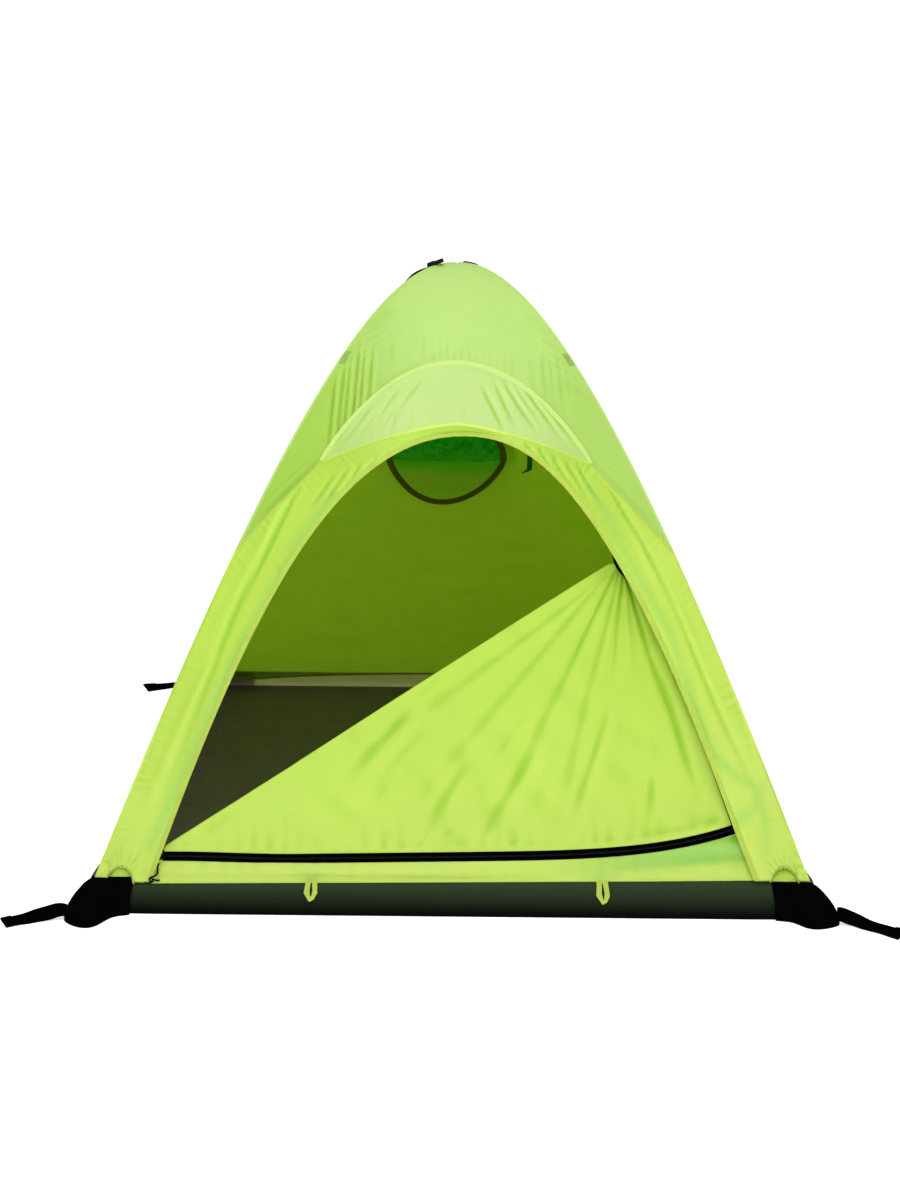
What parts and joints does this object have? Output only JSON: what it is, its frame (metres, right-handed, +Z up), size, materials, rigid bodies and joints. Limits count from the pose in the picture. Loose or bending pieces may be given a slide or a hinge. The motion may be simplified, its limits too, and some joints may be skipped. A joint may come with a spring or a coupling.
{
  "type": "camping tent",
  "caption": "Small single-wall dome tent on crossed poles, with an arched door half unzipped, a visor over it, a round rear vent and a tub floor, pitched and standing on the ground.",
  "frame": {"origin": "on the ground under the middle of the tent floor, on the floor sheet's underside", "axes": "+Z up; +Y along the floor from the door end to the rear end; +X to the right as seen from in front of the door"},
  "size_m": [1.5187, 2.2691, 1.0732],
  "materials": {
    "lime_cloth": "thin ripstop cloth, slightly translucent",
    "hem_tape": "woven binding tape",
    "dark_green_cloth": "coated ripstop cloth, satin",
    "black_trim": "black webbing, tape and cord",
    "black_plastic": "moulded, satin",
    "vent_net": "fine insect net",
    "grey_patch": "stitched reinforcing patch",
    "pole_tube": "anodised, satin"
  },
  "bodies": {
    "root": {"pole_upper": "pole_tube", "pole_lower": "pole_tube", "left_wall": "lime_cloth", "right_wall": "lime_cloth", "rear_wall": "lime_cloth", "front_canopy": "lime_cloth", "visor_top": "lime_cloth", "front_skin": "lime_cloth", "opening_hem": "hem_tape", "inner_front_wall": "lime_cloth", "door_panel": "lime_cloth", "door_folded_flap": "lime_cloth", "door_sill": "lime_cloth", "door_zip_open": "black_trim", "door_zip_right": "black_trim", "door_zip_lower": "black_trim", "zip_slider_upper": "black_plastic", "zip_slider_lower": "black_plastic", "zip_pull_cord": "black_trim", "zip_pull_knot": "black_trim", "vent_zip_ring": "black_trim", "vent_mesh": "vent_net", "vent_panel": "lime_cloth", "vent_hood": "lime_cloth", "vent_tie_tab": "dark_green_cloth", "tub_wall_front": "dark_green_cloth", "tub_wall_rear": "dark_green_cloth", "tub_wall_left": "dark_green_cloth", "tub_wall_right": "dark_green_cloth", "floor_sheet": "dark_green_cloth", "corner_boot_front_left": "black_trim", "corner_boot_front_right": "black_trim", "corner_boot_rear_left": "black_trim", "corner_boot_rear_right": "black_trim", "ground_strap_front_left": "black_trim", "ground_strap_front_right": "black_trim", "ground_strap_rear_left": "black_trim", "ground_strap_rear_right": "black_trim", "ribbon_loop_left": "hem_tape", "ribbon_loop_right": "hem_tape", "top_buckle_left": "black_plastic", "top_buckle_right": "black_plastic", "guy_patch_front_left": "grey_patch", "guy_patch_front_right": "grey_patch", "guy_patch_rear_left": "grey_patch", "guy_patch_rear_right": "grey_patch"}
  },
  "joints": []
}
